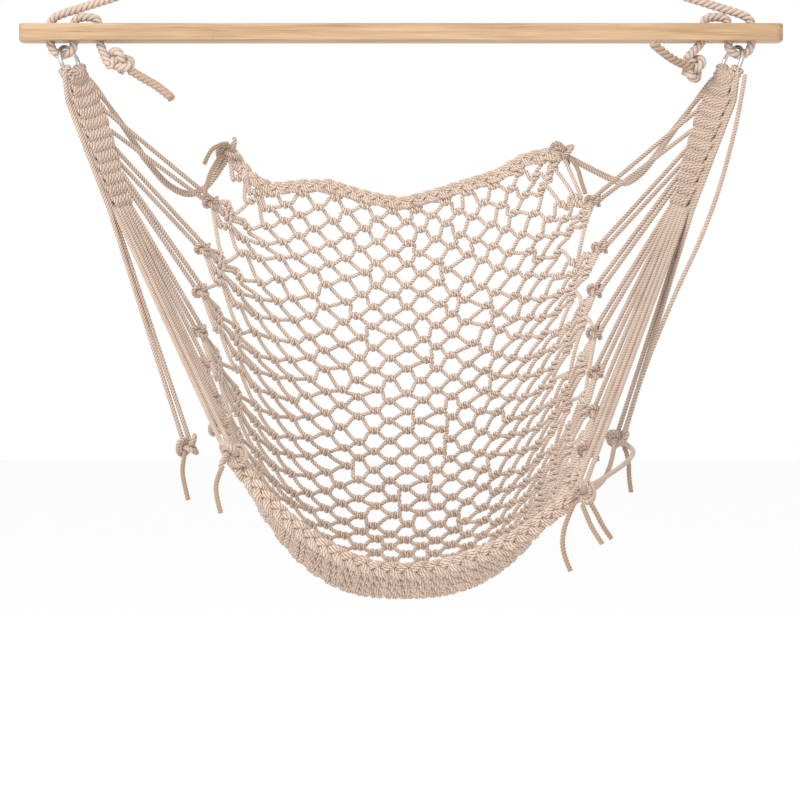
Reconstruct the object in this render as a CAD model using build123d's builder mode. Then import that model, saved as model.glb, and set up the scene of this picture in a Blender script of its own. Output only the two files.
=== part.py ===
from build123d import *
import math
import os

# Rope hammock: a hanging chair of knotted rope under a wooden spreader bar.
# Millimetres. X runs along the bar, Y from the open front to the backrest, Z up.
# The origin is where the ceiling hook bears, at the inner top of the hang ring.

# ---- hanging rope ----
rope_diameter = 12
hole_play = 2
arch_gap = 3.5
loop_leg = 2

# ---- hang ring and hitch ----
hang_wire = 8
hang_bore = 48
hitch_play = 1.4
hitch_squeeze = 0.2

# ---- spreader bar ----
bar_drop = 240
bar_length = 1016
bar_height = 23
bar_depth = 38
bar_end_round = 9
bar_edge_round = 1.5
hole_inset = 41
loop_pitch = 31
arch_pitch = 33

# ---- stopper knots ----
knot_length = {"left": 42, "right": 34}
knot_belly = {"left": 17.5, "right": 15}
knot_collar = 2
knot_lead = 9

# ---- side rings ----
side_wire = 6
side_ring_radius = 22
ring_play = 1.0
ring_lean = 21
ring_turn = 25
hinge_rise = 1

# ---- clews: head, weave and cords ----
cord_diameter = 6.5
cord_gap = 0.5
head_sweep = 150
head_play = 0.2
weave_length = 185
weave_border = 2
weave_gap = 1
strap_columns = 6
shed_columns = 2
shed_cords = 4
shed_start = 0.06
shed_end = 0.85
grip = 4
leg_spread = 0.95

# ---- net, braids and knots ----
net_thickness = 10
net_reach = 0.97
net_margin = 0.012
net_seam = 0.5
back_cut = 0.27
seat_cut = 0.76
seam_gap = 0.001
net_rows = 9
net_columns = 13
surface_power = 2.0
pouch_power = 1.2
back_braid_diameter = 18
front_braid_diameter = 21
side_knot_radius = 11
back_knot_radius = 15
front_knot_radius = 18
seat_shift = -80

# The middle of the seat from the back braid to the front braid, as Y and Z from the bar's centre.
middle_profile = [(260, -215), (285, -350), (252, -520), (150, -680), (0, -742), (-130, -738), (-230, -708)]
# The side edges from back corner to front corner, as X, Y and Z from the bar's centre.
edge_profile = {
    "left": [(-237, 210, -145), (-263, 190, -231), (-270, 130, -338),
             (-265, 50, -415), (-244, -60, -482), (-209, -230, -558)],
    "right": [(222, 210, -150), (268, 190, -228), (264, 130, -331),
              (258, 50, -415), (251, -60, -502), (219, -230, -602)],
}
# Nine knots gather the net's rows on each side edge, as shares of the edge's length. A tenth, the
# outer knot, stands off the edge.
knot_shares = [0, 0.12, 0.23, 0.34, 0.46, 0.58, 0.71, 0.85, 1]
outer_knot = {"left": (-277, -20, -548), "right": (281, -45, -541)}
# The knot that each cord ends in, from the backmost cord to the frontmost: 9 is the outer knot.
cord_knots = [0, 1, 2, 3, 4, 5, 9, 6, 7, 8]

side_sign = {"left": -1, "right": 1}
bar_top = bar_height / 2 - bar_drop
bar_bottom = -bar_height / 2 - bar_drop
crown = bar_top + rope_diameter / 2 + arch_gap
hole_x = [
    bar_length / 2 - hole_inset,
    bar_length / 2 - hole_inset - loop_pitch,
    bar_length / 2 - hole_inset - loop_pitch - arch_pitch,
]
hang_centre = Vector(0, 0, -hang_bore / 2)
hang_ring_radius = (hang_bore + hang_wire) / 2
hitch_centre = hang_centre - Vector(0, 0, hang_ring_radius)

os.makedirs("parts", exist_ok=True)


def from_bar(x, y, z):
    """A place given from the bar's centre."""
    return Vector(x, y, z - bar_drop)


def from_hole(side, x, y, z):
    """A place given from the side's innermost hole, at the bar's mid height."""
    return from_bar(side_sign[side] * hole_x[2] + x, y, z)


def of_seat(x, y, z):
    """A place of the seat given from the bar's centre, with the seat hung in balance below the bar."""
    return from_bar(x, y + seat_shift, z)


def cord_radii(points, share=0.45):
    """The bend radius at each inner point: a share of the shorter run over the tangent of half the turn."""
    radii = []
    for before, here, after in zip(points, points[1:], points[2:]):
        run_in = here - before
        run_out = after - here
        half_turn = math.radians(run_in.get_angle(run_out)) / 2
        radii.append(share * min(run_in.length, run_out.length) / math.tan(half_turn))
    return radii


def write(part, name):
    """Labels a finished piece and writes it under its node's name."""
    part.label = name
    export_step(part, f"parts/{name}.step")


def tube(points, diameter, name):
    """A slack cord: straight runs joined by tangent arcs."""
    radii = cord_radii(points)
    print(name, "radii", [round(radius, 1) for radius in radii])
    with BuildPart() as cord:
        with BuildLine() as route:
            FilletPolyline(*points, radius=radii)
        with BuildSketch(Plane(origin=route.line @ 0, z_dir=route.line % 0)):
            Circle(diameter / 2)
        sweep()
    length = sum(edge.length for edge in route.edges())
    share = cord.part.volume / (math.pi * (diameter / 2) ** 2 * length)
    print(name, "length", round(length, 1), "volume over section times length", round(share, 4))
    return cord.part


# ---- Hang ring: a welded steel ring ----
with BuildPart(Plane(origin=hang_centre, z_dir=(0, 1, 0))) as hang_ring:
    Torus(hang_ring_radius, hang_wire / 2)
write(hang_ring.part, "hang_ring")

# ---- Top hitch: the rope's two turns round the ring, and the start of each leg ----
hitch_turn_radius = hang_wire / 2 + rope_diameter / 2 + hitch_play
hitch_leg_reach = 2 * rope_diameter
hitch_foot = hitch_centre - Vector(0, 0, hitch_turn_radius)
shoulder = {side: Vector(sign * hole_x[0], 0, crown) for side, sign in side_sign.items()}
leg_direction = {side: (shoulder[side] - hitch_foot).normalized() for side in side_sign}
with BuildPart() as top_hitch:
    for sign in side_sign.values():
        turn_centre = hitch_centre + Vector(sign * (rope_diameter / 2 - hitch_squeeze), 0, 0)
        with BuildSketch(Plane(origin=turn_centre - Vector(0, 0, hitch_turn_radius), z_dir=(0, 1, 0))):
            Circle(rope_diameter / 2)
        revolve(axis=Axis(turn_centre, (1, 0, 0)))
    for side in side_sign:
        with BuildSketch(Plane(origin=hitch_foot, z_dir=leg_direction[side])):
            Circle(rope_diameter / 2)
        extrude(amount=hitch_leg_reach)
write(top_hitch.part, "top_hitch")

# ---- Spreader bar: hardwood, rounded at its ends, with three rope holes at each end ----
with BuildPart() as spreader_bar:
    with Locations(from_bar(0, 0, 0)):
        Box(bar_length, bar_depth, bar_height)
    fillet(spreader_bar.edges().filter_by(Axis.Z), radius=bar_end_round)
    fillet(spreader_bar.faces().filter_by(Axis.Z).edges(), radius=bar_edge_round)
    with Locations(*[(sign * x, 0, bar_top) for sign in side_sign.values() for x in hole_x]):
        Hole((rope_diameter + hole_play) / 2)
write(spreader_bar.part, "spreader_bar")

# ---- Hanging rope, stopper knots and tails ----
loop_radius = loop_pitch / 2
loop_top = bar_bottom - loop_leg
arch_bend = 0.75 * rope_diameter
knot_centre = {"left": from_hole("left", 27, -4, -38.3), "right": from_hole("right", -16, -6, -46)}
knot_axis = {
    "left": Vector(0.829, -0.05, -0.559).normalized(),
    "right": Vector(-0.30, -0.15, -0.95).normalized(),
}
tail_route = {
    "left": [(42, -6, -50), (61, -14, -62), (82, -24, -74), (100, -34, -90)],
    "right": [(-17, -13, -47), (-34, -27, -43), (-54, -40, -33), (-72, -50, -19)],
}
for side, sign in side_sign.items():
    half_knot = knot_length[side] / 2
    knot_end = rope_diameter / 2 + knot_collar
    axis = knot_axis[side]
    knot_top = knot_centre[side] - axis * half_knot
    with BuildPart() as hang_rope:
        with BuildLine() as route:
            down = FilletPolyline(
                hitch_foot + leg_direction[side] * hitch_leg_reach,
                shoulder[side],
                (sign * hole_x[0], 0, loop_top),
                radius=rope_diameter,
            )
            loop = ThreePointArc(
                down @ 1,
                (sign * (hole_x[0] - loop_radius), 0, loop_top - loop_radius),
                (sign * hole_x[1], 0, loop_top),
            )
            FilletPolyline(
                loop @ 1,
                (sign * hole_x[1], 0, crown),
                (sign * hole_x[2], 0, crown),
                (sign * hole_x[2], 0, knot_top.Z + knot_lead),
                knot_top,
                radius=[arch_bend, arch_bend, rope_diameter],
            )
        with BuildSketch(Plane(origin=route.line @ 0, z_dir=route.line % 0)):
            Circle(rope_diameter / 2)
        sweep()
    route_length = sum(edge.length for edge in route.edges())
    print("hang_rope", side, "length", round(route_length, 1))
    write(hang_rope.part, f"hang_rope_{side}")

    with BuildPart() as stopper_knot:
        with BuildSketch(Plane(origin=knot_centre[side], x_dir=axis, z_dir=axis.cross(Vector(0, 1, 0)))):
            with BuildLine():
                Line((-half_knot, 0), (-half_knot, knot_end))
                Spline((-half_knot, knot_end), (0, knot_belly[side]), (half_knot, knot_end))
                Line((half_knot, knot_end), (half_knot, 0))
                Line((half_knot, 0), (-half_knot, 0))
            make_face()
        revolve(axis=Axis(knot_centre[side], axis))
    write(stopper_knot.part, f"stopper_knot_{side}")

    tail_points = [from_hole(side, *point) for point in tail_route[side]]
    write(tube(tail_points, rope_diameter, f"rope_tail_{side}"), f"rope_tail_{side}")

# ---- Side rings: small steel rings that hang in the rope loops under the bar ----
lean = math.radians(ring_lean)
turn = math.radians(ring_turn)
pull, across, facing, ring_centre = {}, {}, {}, {}
for side, sign in side_sign.items():
    # pull runs down the clew, across runs along the mat from front to back, facing is the mat's normal.
    pull[side] = Vector(-sign * math.sin(lean), 0, -math.cos(lean))
    inward = Vector(-sign * math.cos(lean), 0, math.sin(lean))
    across[side] = Vector(0, 1, 0) * math.cos(turn) + inward * math.sin(turn)
    facing[side] = across[side].cross(pull[side])
    loop_centre = Vector(sign * (hole_x[0] - loop_radius), 0, loop_top)
    hold = loop_radius - rope_diameter / 2 - side_wire / 2 - ring_play
    ring_centre[side] = loop_centre + pull[side] * (hold + side_ring_radius)
    with BuildPart(Plane(origin=ring_centre[side], z_dir=facing[side])) as side_ring:
        Torus(side_ring_radius, side_wire / 2)
    write(side_ring.part, f"side_ring_{side}")
seat_hinge_z = loop_top - loop_radius * math.cos(lean) + hinge_rise
print("seat hinge z", round(seat_hinge_z, 3), "chair hinge z", hitch_centre.Z)

# ---- Clew heads: the row of cord loops round each ring's lower arc ----
head_radius = side_wire / 2 + cord_diameter
for side in side_sign:
    half = math.radians(head_sweep / 2)
    ring_axis = Axis(ring_centre[side], facing[side])
    for_start = pull[side] * math.cos(half) + across[side] * math.sin(half)
    along = facing[side].cross(for_start)
    with BuildPart() as clew_head:
        with BuildSketch(Plane(origin=ring_centre[side] + for_start * side_ring_radius, z_dir=along)):
            Circle(head_radius)
            Circle(side_wire / 2 + head_play, mode=Mode.SUBTRACT)
        revolve(axis=ring_axis, revolution_arc=-head_sweep if along.dot(pull[side]) < 0 else head_sweep)
    write(clew_head.part, f"clew_head_{side}")

# ---- Clew weaves: flat mats below the heads, straight in front, shedding cords at the back ----
strap_pitch = cord_diameter + cord_gap
weave_foot = strap_columns * strap_pitch + weave_border
weave_width = weave_foot + shed_columns * strap_pitch
weave_thickness = 2 * cord_diameter + cord_gap
weave_top = {}
for side in side_sign:
    weave_top[side] = ring_centre[side] + pull[side] * (side_ring_radius + side_wire / 2 + weave_gap)
    mat = Plane(origin=weave_top[side], x_dir=across[side], z_dir=facing[side])
    down_sign = 1 if mat.y_dir.dot(pull[side]) > 0 else -1
    with BuildPart() as clew_weave:
        with BuildSketch(mat):
            with BuildLine():
                Polyline(
                    (-weave_width / 2, 0),
                    (weave_width / 2, 0),
                    (weave_foot - weave_width / 2, down_sign * weave_length),
                    (-weave_width / 2, down_sign * weave_length),
                    close=True,
                )
            make_face()
        extrude(amount=weave_thickness / 2, both=True)
        with BuildSketch(Plane(origin=ring_centre[side] + pull[side] * side_ring_radius, z_dir=across[side])):
            Circle(head_radius + head_play)
        revolve(axis=Axis(ring_centre[side], facing[side]), mode=Mode.SUBTRACT)
    write(clew_weave.part, f"clew_weave_{side}")

# ---- Seat surface: its middle line and its two side edges, shared by the net, braids and knots ----
middle_line = Spline(*[of_seat(0, y, z) for y, z in middle_profile])
edge_line = {side: Spline(*[of_seat(*point) for point in points]) for side, points in edge_profile.items()}


def seat_point(u, v):
    """The net's middle surface: u is -1 at the left edge and 1 at the right, v is 0 at the back braid."""
    middle = middle_line @ v
    edge = edge_line["left" if u < 0 else "right"] @ v
    rise = abs(u) ** (surface_power + pouch_power * math.sin(math.pi * v))
    x = edge.X * abs(u)
    return Vector(x, middle.Y + (edge.Y - middle.Y) * rise, middle.Z + (edge.Z - middle.Z) * rise)


def net_panel(v_from, v_to):
    """A closed shell with the outer shape of part of the net."""
    grid = []
    for row in range(net_rows):
        v = v_from + (v_to - v_from) * row / (net_rows - 1)
        across_row = [net_reach * (2 * column / (net_columns - 1) - 1) for column in range(net_columns)]
        grid.append([seat_point(u, v) for u in across_row])
    with BuildPart() as panel:
        thicken(Face.make_surface_from_array_of_points(grid), amount=net_thickness / 2, both=True)
    return panel.part


# The net is one piece, in four bands from the back braid to the front braid.
net_back = net_panel(net_margin, net_seam - seam_gap)
net_seat = net_panel(net_seam + seam_gap, 1 - net_margin)
level_cut = Plane(seat_point(0, back_cut), z_dir=(0, 0, 1))
upright_cut = Plane(seat_point(0, seat_cut), z_dir=(0, 1, 0))
for name, panel, cut, kept in (
    ("net_back_upper", net_back, level_cut, Keep.TOP),
    ("net_back_lower", net_back, level_cut, Keep.BOTTOM),
    ("net_seat_rear", net_seat, upright_cut, Keep.TOP),
    ("net_seat_front", net_seat, upright_cut, Keep.BOTTOM),
):
    with BuildPart() as net_band:
        add(panel)
        split(bisect_by=cut, keep=kept)
    write(net_band.part, name)

# ---- Braids along the net's back edge and front edge ----
for name, v, diameter in (("back_braid", 0, back_braid_diameter), ("front_braid", 1, front_braid_diameter)):
    reach = [-0.93, -0.74, -0.5, -0.26, 0, 0.26, 0.5, 0.74, 0.93]
    write(tube([seat_point(u, v) for u in reach], diameter, name), name)

# ---- Knots at the net's corners and down its sides ----
knots = {}
for side in side_sign:
    knots[side] = [edge_line[side] @ share for share in knot_shares] + [of_seat(*outer_knot[side])]
    with BuildPart() as back_knot:
        with Locations(knots[side][0]):
            Sphere(back_knot_radius)
    write(back_knot.part, f"back_knot_{side}")
    with BuildPart() as front_knot:
        with Locations(knots[side][8]):
            Sphere(front_knot_radius)
    write(front_knot.part, f"front_knot_{side}")
    with BuildPart() as side_knots:
        with Locations(*knots[side][1:8], knots[side][9]):
            Sphere(side_knot_radius)
    write(side_knots.part, f"side_knots_{side}")

# ---- Clew cords: ten doubled cords a side, each with two legs from the weave to one knot ----
slack_route = {
    "left": [(-374, 132, -123), (-343, 170, -170), (-315, 195, -199), (-290, 209, -207), (-266, 217, -194)],
    "right": [(372, 132, -122), (347, 170, -158), (328, 193, -181), (308, 207, -192), (286, 216, -184)],
}
for side in side_sign:
    front_edge = weave_top[side] - across[side] * (weave_width / 2)
    for cord, target in enumerate(cord_knots):
        starts = []
        for leg in range(2):
            if cord < shed_cords:
                share = shed_start + (shed_end - shed_start) * (2 * cord + leg) / (2 * shed_cords - 1)
                width = weave_width + (weave_foot - weave_width) * share - grip
                starts.append(front_edge + across[side] * width + pull[side] * (weave_length * share))
            else:
                width = weave_foot - (cord - shed_cords + 0.5) * strap_pitch
                layer = facing[side] * ((leg - 0.5) * strap_pitch)
                starts.append(front_edge + across[side] * width + layer + pull[side] * (weave_length - grip))
        knot = knots[side][target]
        run = (knot - (starts[0] + starts[1]) * 0.5).normalized()
        apart = starts[0] - starts[1]
        offset = (apart - run * apart.dot(run)).normalized() * (cord_diameter / 2 + leg_spread)
        with BuildPart() as clew_cord:
            for leg, start in enumerate(starts):
                end = knot + offset * (1 - 2 * leg)
                with BuildLine() as route:
                    if cord == 0:
                        aside = offset * (1 - 2 * leg)
                        points = [start, *[of_seat(*point) + aside for point in slack_route[side]], end]
                        FilletPolyline(*points, radius=cord_radii(points))
                    else:
                        Line(start, end)
                with BuildSketch(Plane(origin=route.line @ 0, z_dir=route.line % 0)):
                    Circle(cord_diameter / 2)
                sweep(path=route.line)
        write(clew_cord.part, f"clew_cord_{side}_{cord + 1:02d}")

# ---- Slack cords and loose ends at the corners ----
slack_cords = {
    "stray_cord_right": [(456, 55, -58), (448, 48, -104), (434, 36, -160), (415, 19, -222), (390, 4, -284),
                         (359, -14, -346), (331, -30, -410), (306, -42, -472), (289, -50, -532)],
    "corner_loop_right": [(287, -50, -543), (295, -76, -550), (296, -108, -556),
                          (286, -142, -566), (264, -178, -580), (236, -212, -594)],
    "corner_strand_right": [(275, -52, -548), (270, -80, -566), (262, -112, -582),
                            (252, -146, -594), (238, -180, -602), (226, -210, -606)],
    "loose_end_back_left_1": [(-238, 198, -137), (-250, 184, -140), (-262, 176, -150), (-268, 172, -167)],
    "loose_end_back_left_2": [(-247, 200, -153), (-258, 180, -172), (-264, 168, -192), (-268, 160, -214)],
    "loose_end_back_right": [(233, 203, -156), (243, 191, -171), (246, 183, -189), (252, 177, -207)],
    "loose_end_front_left_1": [(-280, -26, -556), (-284, -34, -575), (-281, -40, -596), (-275, -44, -618)],
    "loose_end_front_left_2": [(-219, -238, -570), (-227, -246, -588), (-226, -252, -608),
                               (-220, -256, -627)],
    "loose_end_front_right_1": [(212, -243, -616), (203, -250, -634), (197, -254, -656),
                                (198, -256, -678), (207, -258, -698)],
    "loose_end_front_right_2": [(222, -246, -617), (228, -251, -633), (235, -254, -649), (246, -256, -665)],
    "loose_end_front_right_3": [(231, -240, -613), (240, -242, -628), (247, -243, -644), (258, -243, -659)],
    "loose_end_front_right_4": [(289, -40, -549), (295, -42, -567), (294, -46, -588), (297, -50, -608)],
}
for name, route_points in slack_cords.items():
    write(tube([of_seat(*point) for point in route_points], cord_diameter, name), name)
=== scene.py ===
import math
import random

import bmesh
import bpy
import numpy as np
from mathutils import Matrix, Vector


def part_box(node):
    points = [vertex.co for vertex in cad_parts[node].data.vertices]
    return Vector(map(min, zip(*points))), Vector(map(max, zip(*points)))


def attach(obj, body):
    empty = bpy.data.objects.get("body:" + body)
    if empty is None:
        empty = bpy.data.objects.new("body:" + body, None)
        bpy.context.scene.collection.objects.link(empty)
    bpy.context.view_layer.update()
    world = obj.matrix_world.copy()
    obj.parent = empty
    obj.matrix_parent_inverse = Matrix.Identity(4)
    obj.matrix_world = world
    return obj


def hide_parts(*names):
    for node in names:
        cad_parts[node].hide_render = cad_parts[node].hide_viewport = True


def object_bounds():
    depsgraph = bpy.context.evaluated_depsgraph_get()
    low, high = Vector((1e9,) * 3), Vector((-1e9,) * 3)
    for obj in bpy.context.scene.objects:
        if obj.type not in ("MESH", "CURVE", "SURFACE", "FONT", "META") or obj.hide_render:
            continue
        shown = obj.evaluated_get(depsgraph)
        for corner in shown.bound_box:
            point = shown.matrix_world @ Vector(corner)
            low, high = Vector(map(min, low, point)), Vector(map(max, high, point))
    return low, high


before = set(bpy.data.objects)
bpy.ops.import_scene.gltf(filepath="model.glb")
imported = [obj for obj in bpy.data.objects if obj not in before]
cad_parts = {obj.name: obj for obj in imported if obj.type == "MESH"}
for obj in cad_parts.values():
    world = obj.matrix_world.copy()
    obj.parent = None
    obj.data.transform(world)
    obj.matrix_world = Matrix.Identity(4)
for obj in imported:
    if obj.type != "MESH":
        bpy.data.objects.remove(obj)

cad_box = [list(corner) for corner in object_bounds()]

# ---- Camera: level with the seat's upper half, straight on to the bar ----
# A long lens four metres away, so the bar and the seat below it keep nearly their true proportions.
camera_data = bpy.data.cameras.new("camera")
camera_data.lens = 135
camera_data.sensor_width = 36
camera = bpy.data.objects.new("camera", camera_data)
camera.location = (-0.0013, -4.0, -0.729)
camera.rotation_euler = (math.radians(90), 0, 0)
bpy.context.scene.collection.objects.link(camera)
bpy.context.scene.camera = camera

# ---- Studio: a plain pale floor, an even white sky and one large soft light ----
# The chair hangs well clear of the floor. The soft light stands in front and above.
floor_drop = 0.42
bpy.context.scene.view_settings.view_transform = "Standard"
studio = bpy.data.worlds.new("studio")
studio.use_nodes = True
studio.node_tree.nodes["Background"].inputs["Color"].default_value = (1, 1, 1, 1)
studio.node_tree.nodes["Background"].inputs["Strength"].default_value = 1.0
bpy.context.scene.world = studio

floor_mesh = bpy.data.meshes.new("floor")
floor_form = bmesh.new()
bmesh.ops.create_grid(floor_form, x_segments=1, y_segments=1, size=30)
bmesh.ops.translate(floor_form, verts=floor_form.verts, vec=(0, 0, cad_box[0][2] - floor_drop))
floor_form.to_mesh(floor_mesh)
floor_form.free()
floor = bpy.data.objects.new("floor", floor_mesh)
floor_paint = bpy.data.materials.new("pale_floor")
floor_paint.use_nodes = True
floor_shader = floor_paint.node_tree.nodes["Principled BSDF"]
floor_shader.inputs["Base Color"].default_value = (0.97, 0.97, 0.97, 1)
floor_shader.inputs["Roughness"].default_value = 0.8
floor_mesh.materials.append(floor_paint)
bpy.context.scene.collection.objects.link(floor)

soft_light_data = bpy.data.lights.new("soft_light", "AREA")
soft_light_data.shape = "RECTANGLE"
soft_light_data.size = 2.4
soft_light_data.size_y = 1.6
soft_light_data.energy = 80
soft_light = bpy.data.objects.new("soft_light", soft_light_data)
soft_light.location = (-1.2, -2.6, 1.3)
towards_seat = Vector((0, 0, -0.6)) - soft_light.location
soft_light.rotation_euler = towards_seat.to_track_quat("-Z", "Y").to_euler()
bpy.context.scene.collection.objects.link(soft_light)


# ---- Rings: the hang ring and the two side rings, of welded and polished round steel ----
# They keep their CAD shapes. The steel has faint drawing marks and a few duller patches.
class Value:
    """A node's output. Arithmetic on it adds Math nodes."""

    def __init__(self, finish, output):
        self.finish = finish
        self.output = output

    def math(self, operation, first, second):
        return self.finish.node("ShaderNodeMath", {"operation": operation}, {0: first, 1: second})

    def __add__(self, other):
        return self.math("ADD", self, other)

    def __sub__(self, other):
        return self.math("SUBTRACT", self, other)

    def __rsub__(self, other):
        return self.math("SUBTRACT", other, self)

    def __mul__(self, other):
        return self.math("MULTIPLY", self, other)

    def __pow__(self, other):
        return self.math("POWER", self, other)

    __radd__ = __add__
    __rmul__ = __mul__


class Finish:
    """One material: a Principled shader, with its uniform values, and the nodes that feed it."""

    def __init__(self, name, **uniform):
        self.material = bpy.data.materials.new(name)
        self.material.use_nodes = True
        self.tree = self.material.node_tree
        self.shader = self.tree.nodes["Principled BSDF"]
        for socket, value in uniform.items():
            self.shader.inputs[socket.replace("_", " ")].default_value = value

    def node(self, kind, settings, sockets, output=0):
        """Adds a node: its settings first, then the values or links of its sockets."""
        made = self.tree.nodes.new(kind)
        for name, value in settings.items():
            if name == "stops":
                elements = made.color_ramp.elements
                while len(elements) < len(value):
                    elements.new(1)
                for element, (place, colour) in zip(elements, value):
                    element.position = place
                    element.color = (*colour, 1)
            else:
                setattr(made, name, value)
        for name, value in sockets.items():
            self.put(made.inputs[name], value)
        return Value(self, made.outputs[output])

    def put(self, socket, value):
        if isinstance(value, Value):
            self.tree.links.new(value.output, socket)
        else:
            socket.default_value = value

    def feed(self, **sockets):
        """Links the shader's own sockets."""
        for name, value in sockets.items():
            self.put(self.shader.inputs[name.replace("_", " ")], value)

    def place(self, scale=(1, 1, 1)):
        """A point of the piece in metres, stretched for a pattern."""
        where = self.node("ShaderNodeTexCoord", {}, {}, "Object")
        return self.node("ShaderNodeMapping", {}, {"Vector": where, "Scale": scale})

    def noise(self, vector, scale, detail=2, roughness=0.5):
        sockets = {"Vector": vector, "Scale": scale, "Detail": detail, "Roughness": roughness}
        return self.node("ShaderNodeTexNoise", {}, sockets)

    def mix(self, share, first, second):
        """A colour between two colours."""
        settings = {"data_type": "RGBA"}
        return self.node("ShaderNodeMix", settings, {0: share, 6: first, 7: second}, 2)

    def ramp(self, share, *stops):
        return self.node("ShaderNodeValToRGB", {"stops": stops}, {"Fac": share})

    def bump(self, height, strength, distance):
        sockets = {"Height": height, "Strength": strength, "Distance": distance}
        return self.node("ShaderNodeBump", {}, sockets)


ring_steel = Finish("ring_steel", Metallic=1.0)
steel_patches = ring_steel.noise(ring_steel.place(), 90, 3)
steel_marks = ring_steel.noise(ring_steel.place(), 900, 2)
ring_steel.feed(
    Base_Color=ring_steel.ramp(steel_patches, (0.3, (0.50, 0.49, 0.48)), (0.7, (0.66, 0.65, 0.64))),
    Roughness=0.14 + steel_patches * 0.16,
    Normal=ring_steel.bump(steel_marks, 0.12, 0.0004),
)
for ring in ("hang_ring", "side_ring_left", "side_ring_right"):
    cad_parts[ring].data.materials.clear()
    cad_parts[ring].data.materials.append(ring_steel.material)

# ---- Thick rope: pale three-strand cotton, with painted shade, in tan, in the valleys between its strands ----
# It hitches to the hang ring, runs to both ends of the bar, down, under and over it, and ends in knots.
rope_diameter = 0.012
rope_lay = 0.024
bar_middle_z = -0.240
hole_x = (0.467, 0.436, 0.403)
bar_top_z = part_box("spreader_bar")[1].z
bar_bottom_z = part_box("spreader_bar")[0].z
sides = {"left": -1, "right": 1}


def evenly(points, step):
    """The points of a line again, the same distance apart all along it."""
    points = np.array(points, dtype=float)
    gaps = np.linalg.norm(np.diff(points, axis=0), axis=1)
    travelled = np.concatenate(([0], np.cumsum(gaps)))
    places = np.linspace(0, travelled[-1], max(2, round(travelled[-1] / step) + 1))
    return np.stack([np.interp(places, travelled, points[:, axis]) for axis in range(3)], axis=1)


def bend_through(points, step):
    """A rope's middle line: smooth through all the points, and even."""
    points = np.array(points, dtype=float)
    spare = np.vstack([2 * points[0] - points[1], points, 2 * points[-1] - points[-2]])
    knots = np.concatenate(([0], np.cumsum(np.linalg.norm(np.diff(spare, axis=0), axis=1) ** 0.5)))
    count = len(spare) - 3
    start = [knots[first:first + count, None] for first in range(4)]
    point = [spare[first:first + count, None] for first in range(4)]
    here = start[1] + (start[2] - start[1]) * np.linspace(0, 1, 9)[:-1]

    def blend(first, second, low, high):
        share = ((here - start[low]) / (start[high] - start[low]))[..., None]
        return first * (1 - share) + second * share

    lower = blend(point[0], point[1], 0, 1)
    middle = blend(point[1], point[2], 1, 2)
    upper = blend(point[2], point[3], 2, 3)
    line = blend(blend(lower, middle, 0, 2), blend(middle, upper, 1, 3), 1, 2)
    return evenly(np.vstack([line.reshape(-1, 3), points[-1]]), step)


def three_strands(name, lines, diameter, lay, yarns):
    """Laid rope along each line: a three-lobed section, turned once in each lay (left-handed if negative)."""
    section = bpy.data.curves.new(name + "_section", "CURVE")
    ring = section.splines.new("POLY")
    ring.points.add(3 * yarns - 1)
    ring.use_cyclic_u = True
    for number, control in enumerate(ring.points):
        strand, yarn = divmod(number, yarns)
        across = 2 * (yarn + 1) / yarns - 1
        radius = diameter / 2 * (1.02 - 0.30 * abs(across) ** 2.2)
        angle = -math.radians(120 * strand + 60 * across)
        control.co = (radius * math.cos(angle), radius * math.sin(angle), 0, 1)
    curve = bpy.data.curves.new(name, "CURVE")
    curve.dimensions = "3D"
    for line in lines:
        spline = curve.splines.new("POLY")
        spline.points.add(len(line) - 1)
        spline.points.foreach_set("co", np.hstack([line, np.ones((len(line), 1))]).ravel())
        travelled = np.arange(len(line)) * np.linalg.norm(line[1] - line[0])
        spline.points.foreach_set("tilt", travelled * 2 * math.pi / lay)
    section_holder = bpy.data.objects.new(name + "_section", section)
    curve.bevel_mode = "OBJECT"
    curve.bevel_object = section_holder
    curve.use_fill_caps = True
    holder = bpy.data.objects.new(name, curve)
    bpy.context.scene.collection.objects.link(section_holder)
    bpy.context.scene.collection.objects.link(holder)
    evaluated = holder.evaluated_get(bpy.context.evaluated_depsgraph_get())
    mesh = bpy.data.meshes.new_from_object(evaluated)
    mesh.name = name
    for spent in (holder, section_holder):
        bpy.data.objects.remove(spent)
    mark_valleys(mesh, yarns)
    close_ends(mesh)
    piece = bpy.data.objects.new(name, mesh)
    bpy.context.scene.collection.objects.link(piece)
    return piece


def mark_valleys(mesh, yarns):
    """Writes 1 on the points between two strands and 0 on the rest, for the painted shade in the rope's
    valleys.
    """
    around = np.empty(2 * len(mesh.loops))
    mesh.uv_layers[0].data.foreach_get("uv", around)
    corner_points = np.empty(len(mesh.loops), dtype=int)
    mesh.loops.foreach_get("vertex_index", corner_points)
    yarn = np.rint(around[1::2] * 3 * yarns).astype(int) % yarns
    valley = np.zeros(len(mesh.vertices))
    valley[corner_points] = yarn == yarns - 1
    mesh.attributes.new("valley", "FLOAT", "POINT").data.foreach_set("value", valley)


def close_ends(mesh):
    """Joins each end's cap to its rope and points every face outwards."""
    form = bmesh.new()
    form.from_mesh(mesh)
    bmesh.ops.remove_doubles(form, verts=form.verts, dist=0.00001)
    bmesh.ops.recalc_face_normals(form, faces=form.faces)
    form.to_mesh(mesh)
    form.free()


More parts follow.
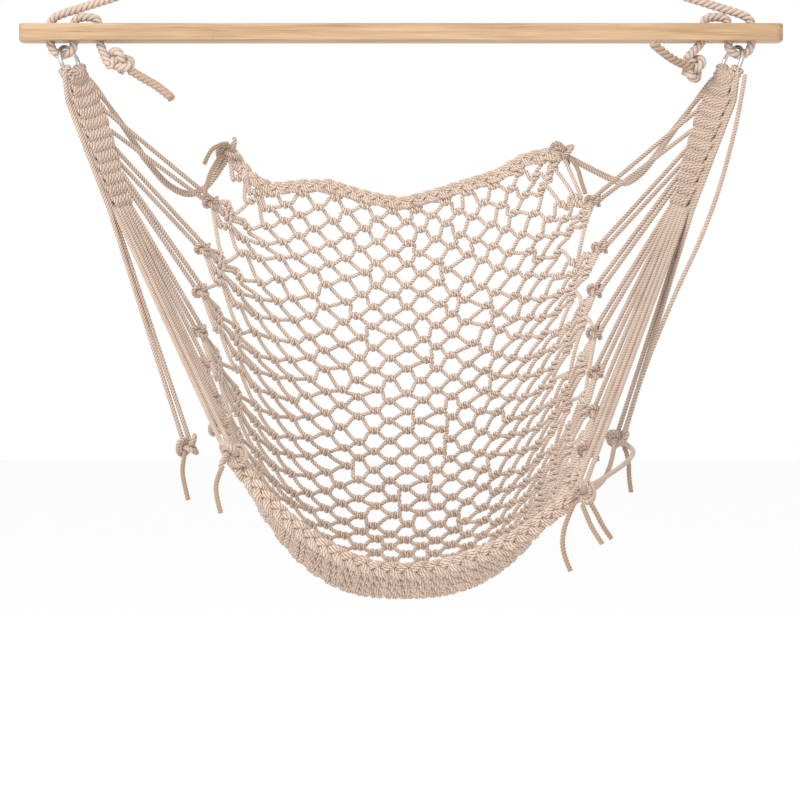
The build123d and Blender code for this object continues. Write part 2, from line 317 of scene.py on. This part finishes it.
def cotton(name, pale, tan, painted_lower_shade=0.0):
    """Laid cotton: pale strands, painted tan shade in the valleys, soft patches and fine fibres. Its last
    argument paints it darker towards the bottom, as painted shade.
    """
    finish = Finish(name, Roughness=0.9, Sheen_Weight=0.15, Sheen_Roughness=0.6)
    valley = finish.node("ShaderNodeAttribute", {"attribute_name": "valley"}, {}, 2)
    patches = finish.noise(finish.place(), 34, 3, 0.6)
    fibres = finish.noise(finish.place((1, 1, 0.45)), 1500, 2, 0.7)
    # The tan in the valleys is painted shade between the strands; the patches and fibres are the cotton's own
    # uneven tone.
    painted_shade_and_tone = valley ** 1.3 * 0.85 + (patches - 0.45) * 0.5 + (fibres - 0.5) * 0.3
    # Painted shade: the cotton is painted tanner towards the bottom of the seat, from z -0.55 m down to -0.98
    # m.
    if painted_lower_shade:
        height = finish.node("ShaderNodeSeparateXYZ", {}, {0: finish.place()}, 2)
        low = finish.node("ShaderNodeMapRange", {}, {"Value": height, "From Min": -0.55, "From Max": -0.98})
        painted_shade_and_tone = painted_shade_and_tone + low * painted_lower_shade
    finish.feed(
        Base_Color=finish.mix(painted_shade_and_tone, (*pale, 1), (*tan, 1)),
        Normal=finish.bump(fibres, 0.35, 0.0012),
    )
    return finish


thick_cotton = cotton("thick_rope", (0.585, 0.455, 0.375), (0.23, 0.135, 0.078))

# The hitch: each leg goes up in front of the ring's wire, over it and down behind, and the bight that
# joins them comes round under the ring and across in front of both legs.
ring_low, ring_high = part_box("hang_ring")
wire = (ring_high.z - ring_low.z - 0.048) / 2
wire_z = ring_low.z + wire / 2
turn = wire / 2 + rope_diameter / 2 + 0.0006


def half_hitch(sign):
    """One leg's way from the middle of the bight back to the start of the leg."""
    over = [(sign * 0.0062, turn * math.sin(angle), wire_z + turn * math.cos(angle))
            for angle in np.radians([125, 90, 45, 0, -45, -90, -125])]
    return [
        (0, -0.0215, wire_z - 0.0145),
        (sign * 0.0110, -0.0195, wire_z - 0.0140),
        (sign * 0.0185, -0.0085, wire_z - 0.0135),
        (sign * 0.0165, 0.0050, wire_z - 0.0120),
        *over,
        (sign * 0.0085, -0.0095, wire_z - 0.0185),
        (sign * 0.0200, -0.0040, wire_z - 0.0270),
    ]


def straight(start, end, step=0.02):
    """Points along a tight rope, without its start and its end."""
    start, end = np.array(start), np.array(end)
    count = max(2, round(np.linalg.norm(end - start) / step))
    shares = np.arange(1, count) / count
    return [tuple(point) for point in start + (end - start) * shares[:, None]]


def overhand(centre, along, up, size, spread=1.0, phase=(-2.6, 2.6), count=30, depth=1.25):
    """An overhand knot's line. It comes in against along and leaves with it, and its eye faces up x along."""
    along = Vector(along).normalized()
    facing = along.cross(Vector(up)).normalized()
    up = facing.cross(along)
    line = []
    for angle in np.linspace(phase[0], phase[1], count):
        right = math.sin(angle) + 2 * math.sin(2 * angle)
        rise = math.cos(angle) - 2 * math.cos(2 * angle)
        out = -depth * math.sin(3 * angle)
        line.append(Vector(centre) + size * (-along * right * spread + up * rise + facing * out))
    return [tuple(point) for point in line]


arch_z = bar_top_z + rope_diameter / 2 + 0.0035
loop_z = bar_bottom_z - 0.002
loop_radius = (hole_x[0] - hole_x[1]) / 2
stopper = {
    "left": {"centre": (-0.376, -0.004, -0.2800), "along": (0.829, -0.05, -0.559), "up": (0.5, 0, 0.85)},
    "right": {"centre": (0.387, -0.006, -0.2860), "along": (-0.30, -0.15, -0.95), "up": (0.95, 0, -0.3)},
}
stopper_size = 0.0053


def hanging_leg(side, sign):
    """From the hitch to the bar, down, under and up through it, over and down again into the knot."""
    outer, inner, last = (sign * x for x in hole_x)
    hitch_end = half_hitch(sign)[-1]
    under = []
    for angle in np.radians(range(0, 181, 30)):
        x = hole_x[0] - loop_radius + loop_radius * math.cos(angle)
        under.append((sign * x, 0, loop_z - loop_radius * math.sin(angle)))
    arch = [
        (inner, 0, arch_z - 0.010),
        (inner - sign * 0.0030, 0, arch_z - 0.0025),
        (inner - sign * 0.0095, 0, arch_z),
        (last + sign * 0.0095, 0, arch_z),
        (last + sign * 0.0030, 0, arch_z - 0.0025),
        (last, 0, arch_z - 0.010),
    ]
    shoulder = (outer, 0, arch_z)
    knot = overhand(size=stopper_size, **stopper[side])
    return [
        *half_hitch(sign),
        *straight(hitch_end, shoulder)[:-1],
        (outer - sign * 0.0075, 0, arch_z + 0.0012),
        (outer - sign * 0.0012, 0, arch_z - 0.0050),
        (outer, 0, arch_z - 0.0135),
        *under,
        *arch,
        (last, 0, bar_bottom_z + 0.004),
        *knot,
    ]


legs = {side: hanging_leg(side, sign) for side, sign in sides.items()}
rope_line = bend_through(legs["left"][:0:-1] + legs["right"], 0.0012)
hanging_rope = three_strands("hanging_rope", [rope_line], rope_diameter, -rope_lay, 6)
hanging_rope.data.materials.append(thick_cotton.material)
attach(hanging_rope, "bar")
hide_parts("top_hitch", "hang_rope_left", "hang_rope_right",
            "stopper_knot_left", "stopper_knot_right")

# ---- Rope tails: the short free ends beyond the stopper knots, darker where hands have pulled them ----
# Each hangs out of its knot in one easy curve and ends in a cut end.
worn_cotton = cotton("worn_rope_end", (0.46, 0.32, 0.225), (0.21, 0.12, 0.065))


def slack_line(points):
    """The smooth line of a free rope's route, whose points pull it into its curves."""
    curve = bpy.data.curves.new("slack_line", "CURVE")
    curve.dimensions = "3D"
    curve.resolution_u = 16
    spline = curve.splines.new("NURBS")
    spline.points.add(len(points) - 1)
    for control, place in zip(spline.points, points):
        control.co = (*place, 1)
    spline.order_u = 3
    spline.use_endpoint_u = True
    holder = bpy.data.objects.new("slack_line", curve)
    mesh = bpy.data.meshes.new_from_object(holder)
    line = [tuple(vertex.co) for vertex in mesh.vertices]
    bpy.data.objects.remove(holder)
    bpy.data.meshes.remove(mesh)
    return line


def from_bar(x, y, z):
    return (x, y, z + bar_middle_z)


def free_rope(name, route, diameter, lay, yarns, step, finish, body, nodes):
    """A free rope along its route, in place of the CAD nodes that it hides."""
    line = slack_line(route)
    piece = three_strands(name, [evenly(line, step)], diameter, lay, yarns)
    piece.data.materials.append(finish.material)
    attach(piece, body)
    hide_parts(*nodes)
    return piece


tail_routes = {
    "left": [
        (-0.361, -0.006, -0.050), (-0.342, -0.014, -0.062), (-0.321, -0.024, -0.074),
        (-0.303, -0.034, -0.090),
    ],
    "right": [
        (0.386, -0.013, -0.047), (0.369, -0.027, -0.043), (0.349, -0.040, -0.033),
        (0.331, -0.050, -0.019),
    ],
}
for side in sides:
    free_rope(f"tail_{side}", [from_bar(*point) for point in tail_routes[side]],
              rope_diameter, -rope_lay, 6, rope_diameter / 8, worn_cotton, "bar",
              [f"rope_tail_{side}"])

# ---- Spreader bar: one straight piece of oiled ash, with its grain along it ----
# It keeps its CAD shape. Wide figure and fine pores run its length, with a few dark flecks.
bar_wood = Finish("bar_wood", Coat_Weight=0.12, Coat_Roughness=0.35)
figure = bar_wood.noise(bar_wood.place((1.4, 22, 34)), 3.2, 3, 0.55)
pores = bar_wood.noise(bar_wood.place((5, 260, 320)), 3, 2, 0.6)
flecks = bar_wood.noise(bar_wood.place((46, 12, 18)), 1.3, 2, 0.7)
grain = figure * 0.55 + pores * 0.45
honey = bar_wood.ramp(
    grain,
    (0.32, (0.25, 0.135, 0.06)),
    (0.47, (0.40, 0.25, 0.13)),
    (0.62, (0.51, 0.345, 0.195)),
)
fleck = bar_wood.ramp(flecks, (0.66, (0, 0, 0)), (0.76, (1, 1, 1)))
bar_wood.feed(
    Base_Color=bar_wood.mix(fleck * 0.35, honey, (0.30, 0.15, 0.055, 1)),
    Roughness=0.38 + pores * 0.25,
    Normal=bar_wood.bump(grain, 0.25, 0.0006),
)
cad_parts["spreader_bar"].data.materials.clear()
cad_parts["spreader_bar"].data.materials.append(bar_wood.material)

# ---- Seat outline: where the net's middle and its two side edges hang ----
# The clews' cords end in a row of knots down each edge, and the net is knotted between the edges.
seat_shift = -0.080
middle_profile = [(0.260, -0.215), (0.285, -0.350), (0.252, -0.520), (0.150, -0.680), (0.0, -0.738),
                  (-0.130, -0.730), (-0.230, -0.699)]
edge_profile = {
    "left": [(-0.237, 0.210, -0.145), (-0.263, 0.190, -0.231), (-0.270, 0.130, -0.338),
             (-0.265, 0.050, -0.415), (-0.244, -0.060, -0.482), (-0.209, -0.230, -0.558)],
    "right": [(0.222, 0.210, -0.150), (0.268, 0.190, -0.228), (0.264, 0.130, -0.331),
              (0.258, 0.050, -0.415), (0.251, -0.060, -0.502), (0.219, -0.230, -0.602)],
}
knot_shares = (0, 0.12, 0.23, 0.34, 0.46, 0.58, 0.71, 0.85, 1)


def of_seat(x, y, z):
    return from_bar(x, y + seat_shift, z)


def batten(points):
    """The line of a thin batten sprung through the points, as 201 points evenly apart."""
    points = np.array(points, dtype=float)
    gaps = np.linalg.norm(np.diff(points, axis=0), axis=1)
    slopes = np.diff(points, axis=0) / gaps[:, None]
    stiffness = np.eye(len(points))
    load = np.zeros_like(points)
    for knot in range(1, len(points) - 1):
        stiffness[knot, knot - 1:knot + 2] = gaps[knot - 1], 2 * (gaps[knot - 1] + gaps[knot]), gaps[knot]
        load[knot] = 6 * (slopes[knot] - slopes[knot - 1])
    curl = np.linalg.solve(stiffness, load)
    line = [points[0]]
    for knot, gap in enumerate(gaps):
        for share in np.linspace(0, 1, 40)[1:]:
            rest = 1 - share
            flat = points[knot] * rest + points[knot + 1] * share
            bow = curl[knot] * (rest ** 3 - rest) + curl[knot + 1] * (share ** 3 - share)
            line.append(flat + bow * gap ** 2 / 6)
    line = evenly(line, 0.00001)
    return line[np.linspace(0, len(line) - 1, 201).astype(int)]


middle_line = batten([of_seat(0, y, z) for y, z in middle_profile])
edge_line = {side: batten([of_seat(*point) for point in edge_profile[side]]) for side in sides}


def along(line, share):
    """The point at a share of a line's length."""
    place = np.clip(share, 0, 1) * (len(line) - 1)
    return np.stack([np.interp(place, range(len(line)), line[:, axis]) for axis in range(3)], axis=-1)


knots = {side: [along(edge_line[side], share) for share in knot_shares] for side in sides}
knots["left"].append(np.array(of_seat(-0.277, -0.020, -0.548)))
knots["right"].append(np.array(of_seat(0.281, -0.045, -0.541)))

# ---- Clews: ten doubled cords on each side ring, woven into a flat mat and then let go to the knots ----
# Each cord loops round the ring's wire and comes down as two legs. In the mat the legs trade places, front
# and back, over a crossing cord. Eight legs leave at the mat's back edge, and twelve at its foot.
cord_diameter = 0.0065
cord_lay = 0.0125
cord_step = 0.0013
weft_diameter = 0.0052
lean, turned, mat_turned = math.radians(21), math.radians(25), math.radians(50)
weave_width = 0.058
weave_foot = 0.040
weave_length = 0.185
weave_row = 0.0155
border_width = 0.0105
mat_below_ring = 0.026
first_shed, shed_span = 0.06, 0.79
leg_depth, leg_sway = 0.0042, 0.0013
leg_apart = 0.0042
wrap_from_ring, wrap_radius = 0.022, 0.0064
cord_knots = (0, 1, 2, 3, 4, 5, 9, 6, 7, 8)
slack_routes = {
    "left": [(-0.374, 0.132, -0.123), (-0.343, 0.170, -0.170), (-0.315, 0.195, -0.199),
             (-0.290, 0.209, -0.207), (-0.266, 0.217, -0.194)],
    "right": [(0.372, 0.132, -0.122), (0.347, 0.170, -0.158), (0.328, 0.193, -0.181),
              (0.308, 0.207, -0.192), (0.286, 0.216, -0.184)],
}
# The last value is the share of painted shade towards the bottom.
cord_cotton = cotton("cord", (0.58, 0.45, 0.365), (0.20, 0.115, 0.062), 0.06)


class Clew:
    """The frame of one clew: pull runs down it, across from its front edge to its back, facing out of it."""

    def __init__(self, side, sign):
        self.side = side
        low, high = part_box(f"side_ring_{side}")
        self.ring = np.array((low + high) / 2)
        self.pull = np.array((-sign * math.sin(lean), 0, -math.cos(lean)))
        inward = np.array((-sign * math.cos(lean), 0, math.sin(lean)))
        self.across = np.array((0, 1, 0)) * math.cos(turned) + inward * math.sin(turned)
        self.facing = np.cross(self.across, self.pull)
        if self.facing[1] > 0:
            self.facing = -self.facing
        self.inward = inward

    def in_mat(self, width, drop, out):
        """A point of the mat. Near the ring, the rows hang in a curve as the ring does."""
        place = np.clip(drop / weave_length, 0, 1)
        half = (weave_width + (weave_foot - weave_width) * place) / 2
        hang = 0.013 * (width / half - 1) ** 2 * math.exp(-max(drop, 0) / 0.05)
        opened = turned + (mat_turned - turned) * min(max(drop / 0.03, 0), 1)
        across = np.array((0, 1, 0)) * math.cos(opened) + self.inward * math.sin(opened)
        facing = self.inward * math.cos(opened) - np.array((0, 1, 0)) * math.sin(opened)
        down = self.ring + self.pull * (mat_below_ring + drop - hang)
        return tuple(down + across * (width - weave_width / 2) + facing * out)

    def leg(self, number):
        """One leg's way down the mat, counted from the front edge."""
        shed = 19 - number
        last = weave_length - 0.004
        if shed < 8:
            last = weave_length * (first_shed + shed_span * shed / 7)
        line = []
        for drop in np.arange(0.001, last, 0.0025):
            share = drop / weave_length
            width = weave_width + (weave_foot - weave_width) * share
            if number < 2:
                line.append(self.in_mat(0.0022 + 0.0058 * number, drop, 0.001 - 0.002 * number))
                continue
            gone = min(max((share - first_shed) / shed_span * 7 + 0.5, 0), 8)
            spot = border_width + (width - border_width - 0.002) * (number - 1.5) / (18 - gone)
            beat = math.pi * (drop / weave_row + number % 2)
            line.append(self.in_mat(spot + leg_sway * math.sin(beat), drop, leg_depth * math.cos(beat)))
        return line

    def wrap(self, cord):
        """The cord's turn round the ring's wire."""
        angle = math.radians(7.5 + 15 * (9 - cord) - 75)
        outward = self.pull * math.cos(angle) + self.across * math.sin(angle)
        centre = self.ring + outward * wrap_from_ring
        return [tuple(centre + wrap_radius * (outward * math.cos(way) + self.facing * math.sin(way)))
                for way in np.radians(range(30, 331, 30))]

    def cord(self, number):
        """A whole doubled cord, from its knot up one leg, round the ring and down the other."""
        knot = knots[self.side][cord_knots[number]]
        legs = []
        for leg in range(2):
            line = self.leg(19 - 2 * cord_knots[number] - leg)
            beside = knot + self.inward * leg_apart * (1 - 2 * leg)
            if number == 0:
                rest = [of_seat(x, y + 0.007 * leg, z + 0.004 * leg) for x, y, z in slack_routes[self.side]]
            else:
                rest = straight(line[-1], beside, 0.012)
            legs.append([*line, *rest, tuple(beside), tuple(knot)])
        return [*legs[0][::-1], *self.wrap(cord_knots[number]), *legs[1]]

    def weft(self):
        """The crossing cord, from row to row down the mat."""
        line = []
        for row in range(int(weave_length / weave_row)):
            drop = 0.0035 + row * weave_row
            share = drop / weave_length
            width = weave_width + (weave_foot - weave_width) * share
            spots = list(np.linspace(border_width - 0.001, width - 0.001, 9))
            for spot in spots if row % 2 else spots[::-1]:
                line.append(self.in_mat(spot, drop, 0))
        return line


clews = {side: Clew(side, sign) for side, sign in sides.items()}
for side, clew in clews.items():
    weft_line = bend_through(clew.weft(), 0.0014)
    weft = three_strands(f"clew_weft_{side}", [weft_line], weft_diameter, cord_lay, 3)
    weft.data.materials.append(cord_cotton.material)
    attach(weft, "seat")
    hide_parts(f"clew_head_{side}", f"clew_weave_{side}")
    for number in range(10):
        name = f"cord_{side}_{number + 1:02d}"
        cord_line = bend_through(clew.cord(number), cord_step)
        cord = three_strands(name, [cord_line], cord_diameter, cord_lay, 3)
        cord.data.materials.append(cord_cotton.material)
        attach(cord, "seat")
        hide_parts(f"clew_cord_{side}_{number + 1:02d}")

# ---- Net: one net of thin rope, each mesh joined to the next by one full twist of two ropes ----
# Every rope waves from side to side, twisted once with the rope above and once with the rope below. At the
# side edges the ropes run together, in bundles, into the knots.
net_rope = 0.0060
net_lay = 0.0115
net_rows = 60
net_columns = 12
net_side = 0.93
joint_swing = 0.0033
edge_v, edge_half = 0.004, 0.012
surface_power, pouch_power = 2.0, 1.2
wave_place = (-1, -0.87, -0.76, -0.58, -0.42, -0.2, 0, 0.22, 0.4, 0.6, 0.76, 0.88, 1)
wave_rise = (0, -0.022, -0.022, 0, 0.012, 0.006, 0.0, 0.009, 0.014, 0.014, 0.020, 0.014, 0)
random.seed(7)
jitter = [[(random.gauss(0, 0.010), random.gauss(0, 0.0018)) for column in range(net_columns)]
          for row in range(net_rows)]


def seat_point(u, v):
    """The net's middle surface: u is -1 at the left edge and 1 at the right, v is 0 at the back braid."""
    u, v = np.asarray(u, dtype=float), np.asarray(v, dtype=float)
    middle = along(middle_line, v)
    edge = np.where((u < 0)[..., None], along(edge_line["left"], v), along(edge_line["right"], v))
    rise = np.abs(u) ** (surface_power + pouch_power * np.sin(np.pi * np.clip(v, 0, 1)))
    point = middle + (edge - middle) * rise[..., None]
    point[..., 0] = edge[..., 0] * np.abs(u)
    point[..., 2] += np.interp(u, wave_place, wave_rise) * np.exp(-v / 0.10)
    return point


def unit(vector):
    return vector / np.linalg.norm(vector, axis=-1, keepdims=True)


def nearest_knot(v):
    """The place down the edge of the knot nearest to v."""
    return min(knot_shares, key=lambda share: abs(share - v))


def gathered(u, v):
    """A row's place: towards the sides, rows close up on the nearest knot."""
    pull = max(0, (abs(u) - 0.70) / 0.30) ** 1.6 * 0.7
    return v + (nearest_knot(v) - v) * pull


def across_net(mesh):
    """How far across the net a joint is, counted in meshes from the left."""
    return -net_side + 2 * net_side * mesh / (net_columns - 0.5)


def joint_place(row, column):
    """Where two ropes are twisted together: rows alternate by half a mesh, and no two meshes are alike."""
    u = across_net(column + 0.5 * (row % 2))
    v = (row + 0.8) / (net_rows + 0.6)
    u += (0.07 + jitter[row][column][0]) * (1 - u * u)
    v += jitter[row][column][1]
    return u, gathered(u, v)


def twist(row, column, upper):
    """One rope's way through a joint, as the upper or the lower of its two ropes."""
    u, v = joint_place(row, column)
    centre = seat_point(u, v)
    sideways = unit(seat_point(u + 0.01, gathered(u + 0.01, v)) - seat_point(u - 0.01, v))
    upwards = unit(seat_point(u, v - 0.01) - seat_point(u, v + 0.01))
    facing = unit(np.cross(sideways, upwards))
    upright = abs(facing[1]) > abs(facing[2])
    flat = abs(facing[2]) > abs(facing[1])
    if (upright and facing[1] > 0) or (flat and facing[2] < 0):
        facing = -facing
    upwards = np.cross(facing, sideways)
    if upwards @ (seat_point(u, v - 0.01) - centre) < 0:
        upwards = -upwards
    half = 0.0066 + 0.0022 * u * u + 0.0014 * v + 0.06 * abs(jitter[row][column][0])
    line = []
    for share in np.linspace(-1, 1, 9):
        turn = math.pi * (share + 1) + (0 if upper else math.pi)
        swing = joint_swing * (upwards * math.cos(turn) + facing * math.sin(turn))
        line.append(centre + sideways * half * share + swing)
    return line


def net_line(rope):
    """One rope from side to side. It goes between the joints of the row above it and of its own row."""
    above, own = rope - 1, rope
    stops = []
    for column in range(net_columns):
        joints = [(above, False), (own, True)]
        for row, upper in joints if above % 2 == 0 else joints[::-1]:
            if 0 <= row < net_rows:
                stops += twist(row, column, upper)
            else:
                u = across_net(column + 0.5)
                v = edge_v if row < 0 else 1 - edge_v
                stops += [seat_point(u - edge_half, v), seat_point(u + edge_half, v)]
    knot = knot_shares.index(nearest_knot((rope + 0.3) / (net_rows + 0.6)))
    return [knots["left"][knot], *stops, knots["right"][knot]]


# The last value is the share of painted shade towards the bottom of the seat.
net_cotton = cotton("net", (0.72, 0.585, 0.49), (0.26, 0.155, 0.088), 0.22)
net_bands = ("net_back_upper", "net_back_lower", "net_seat_rear", "net_seat_front")
band_ropes = np.array_split(range(net_rows + 1), 4)
for band, ropes in zip(net_bands, band_ropes):
    lines = [bend_through(net_line(rope), 0.0016) for rope in ropes]
    mesh_band = three_strands(f"{band}_mesh", lines, net_rope, net_lay, 3)
    mesh_band.data.materials.append(net_cotton.material)
    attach(mesh_band, "seat")
    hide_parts(band)

# ---- Braids: the net's back edge and front edge, each a flat plait of doubled cord ----
# Three pairs of cords cross in turn, which gives two rows of slanting cords like an ear of wheat.
braid_pitch = 0.054
braid_cord = 0.0056
braid_step = 0.0025
braid_end = 0.985


def plait(v, swing, depth, pair_gap):
    """The six cords of one braid, from knot to knot."""
    core = bend_through(seat_point(np.linspace(-braid_end, braid_end, 61), np.full(61, v)), braid_step)
    ahead = unit(np.gradient(core, axis=0))
    upwards = unit(np.array((0, 0, 1)) - ahead * ahead[:, 2:])
    facing = np.cross(upwards, ahead)
    if facing[0][1] > 0:
        facing = -facing
    travelled = np.arange(len(core)) * braid_step
    cords = []
    for strand in range(3):
        beat = 2 * math.pi * (travelled / braid_pitch + strand / 3)
        side_step = swing * np.sin(beat)
        lift = depth * np.sin(2 * beat)
        for pair in (-1, 1):
            offset = side_step + pair * pair_gap * np.abs(np.cos(beat)) ** 0.5
            cords.append(core + upwards * offset[:, None] + facing * lift[:, None])
    return cords


for name, v, swing in (("back_braid", 0.0, 0.0058), ("front_braid", 1.0, 0.0068)):
    lines = [bend_through(cord[::2], 0.0014) for cord in plait(v, swing, 0.0034, 0.0026)]
    braid = three_strands(f"{name}_plait", lines, braid_cord, cord_lay, 3)
    braid.data.materials.append(net_cotton.material)
    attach(braid, "seat")
    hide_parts(name)

# ---- Knots: where the clews' cords are tied to the net, down both sides and at the four corners ----
# Each is an overhand knot of cord, pulled tight. The corner knots are doubled and larger.
back_knot_size, front_knot_size, side_knot_size = 0.0040, 0.0044, 0.0035
knot_phase = (-2.75, 2.75)


def tied(centre, towards, size, doubled, turned_by):
    """The cords of one tight knot."""
    facing = Vector((math.sin(turned_by), -math.cos(turned_by), 0.3))
    up = Vector(towards).cross(facing)
    lines = [overhand(centre, towards, up, size, 1.0, knot_phase, 34, 1.5)]
    if doubled:
        behind = centre + Vector((0, 0.002, 0))
        lines.append(overhand(behind, towards, up, size * 1.5, 0.9, knot_phase, 34, 2.2))
    return [bend_through(line, cord_step) for line in lines]


for side, sign in sides.items():
    corner_back, corner_front, down_edge = [], [], []
    for number, knot in enumerate(knots[side]):
        inward = Vector((-sign, 0.2 * math.sin(number), -0.35 + 0.2 * math.cos(2 * number)))
        if number == 0:
            corner_back += tied(Vector(knot), inward, back_knot_size, True, 0.4 * number)
        elif number == 8:
            corner_front += tied(Vector(knot), inward, front_knot_size, True, 0.4 * number)
        else:
            turned_by = 0.5 * math.sin(3 * number)
            down_edge += tied(Vector(knot), inward, side_knot_size, number > 6, turned_by)
    tied_knots = {"back_knot": corner_back, "front_knot": corner_front, "side_knots": down_edge}
    for name, lines in tied_knots.items():
        knot_piece = three_strands(f"{name}_{side}_cord", lines, cord_diameter, cord_lay, 3)
        knot_piece.data.materials.append(cord_cotton.material)
        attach(knot_piece, "seat")
        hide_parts(f"{name}_{side}")

# ---- Slack cords and loose ends: cords left over at the corners, cut and hanging ----
# One stray cord leaves the right clew and hangs down to the outer knot. The ends are tanned and worn.
worn_cord = cotton("worn_cord_end", (0.43, 0.295, 0.20), (0.20, 0.115, 0.06))
slack_cords = {
    "stray_cord_right": (0.5156, "object", [
        (0.456, 0.055, -0.058), (0.448, 0.048, -0.104), (0.434, 0.036, -0.160), (0.415, 0.019, -0.222),
        (0.390, 0.004, -0.284), (0.359, -0.014, -0.346), (0.331, -0.030, -0.410),
        (0.306, -0.042, -0.472), (0.289, -0.050, -0.532)]),
    "corner_loop_right": (0.1875, "object", [
        (0.287, -0.050, -0.543), (0.295, -0.076, -0.550), (0.296, -0.108, -0.556),
        (0.286, -0.142, -0.566), (0.264, -0.178, -0.580), (0.236, -0.212, -0.594)]),
    "corner_strand_right": (0.1778, "object", [
        (0.275, -0.052, -0.548), (0.270, -0.080, -0.566), (0.262, -0.112, -0.582),
        (0.252, -0.146, -0.594), (0.238, -0.180, -0.602), (0.226, -0.210, -0.606)]),
    "loose_end_back_left_1": (0.0539, "bare", [
        (-0.238, 0.198, -0.137), (-0.250, 0.184, -0.140), (-0.262, 0.176, -0.150),
        (-0.268, 0.172, -0.167)]),
    "loose_end_back_left_2": (0.0773, "bare", [
        (-0.247, 0.200, -0.153), (-0.258, 0.180, -0.172), (-0.264, 0.168, -0.192),
        (-0.268, 0.160, -0.214)]),
    "loose_end_back_right": (0.0612, "bare", [
        (0.233, 0.203, -0.156), (0.243, 0.191, -0.171), (0.246, 0.183, -0.189), (0.252, 0.177, -0.207)]),
    "loose_end_front_left_1": (0.0660, "bare", [
        (-0.280, -0.026, -0.556), (-0.284, -0.034, -0.575), (-0.281, -0.040, -0.596),
        (-0.275, -0.044, -0.618)]),
    "loose_end_front_left_2": (0.0621, "bare", [
        (-0.219, -0.238, -0.570), (-0.227, -0.246, -0.588), (-0.226, -0.252, -0.608),
        (-0.220, -0.256, -0.627)]),
    "loose_end_front_right_1": (0.0881, "bare", [
        (0.212, -0.243, -0.616), (0.203, -0.250, -0.634), (0.197, -0.254, -0.656),
        (0.198, -0.256, -0.678), (0.207, -0.258, -0.698)]),
    "loose_end_front_right_2": (0.0550, "bare", [
        (0.222, -0.246, -0.617), (0.228, -0.251, -0.633), (0.235, -0.254, -0.649),
        (0.246, -0.256, -0.665)]),
    "loose_end_front_right_3": (0.0536, "bare", [
        (0.231, -0.240, -0.613), (0.240, -0.242, -0.628), (0.247, -0.243, -0.644),
        (0.258, -0.243, -0.659)]),
    "loose_end_front_right_4": (0.0608, "bare", [
        (0.289, -0.040, -0.549), (0.295, -0.042, -0.567), (0.294, -0.046, -0.588),
        (0.297, -0.050, -0.608)]),
}
for name, (length, far_end, route) in slack_cords.items():
    finish = worn_cord if far_end == "bare" else cord_cotton
    free_rope(f"{name}_rope", [of_seat(*point) for point in route], cord_diameter, cord_lay, 3,
              cord_step, finish, "seat", [name])
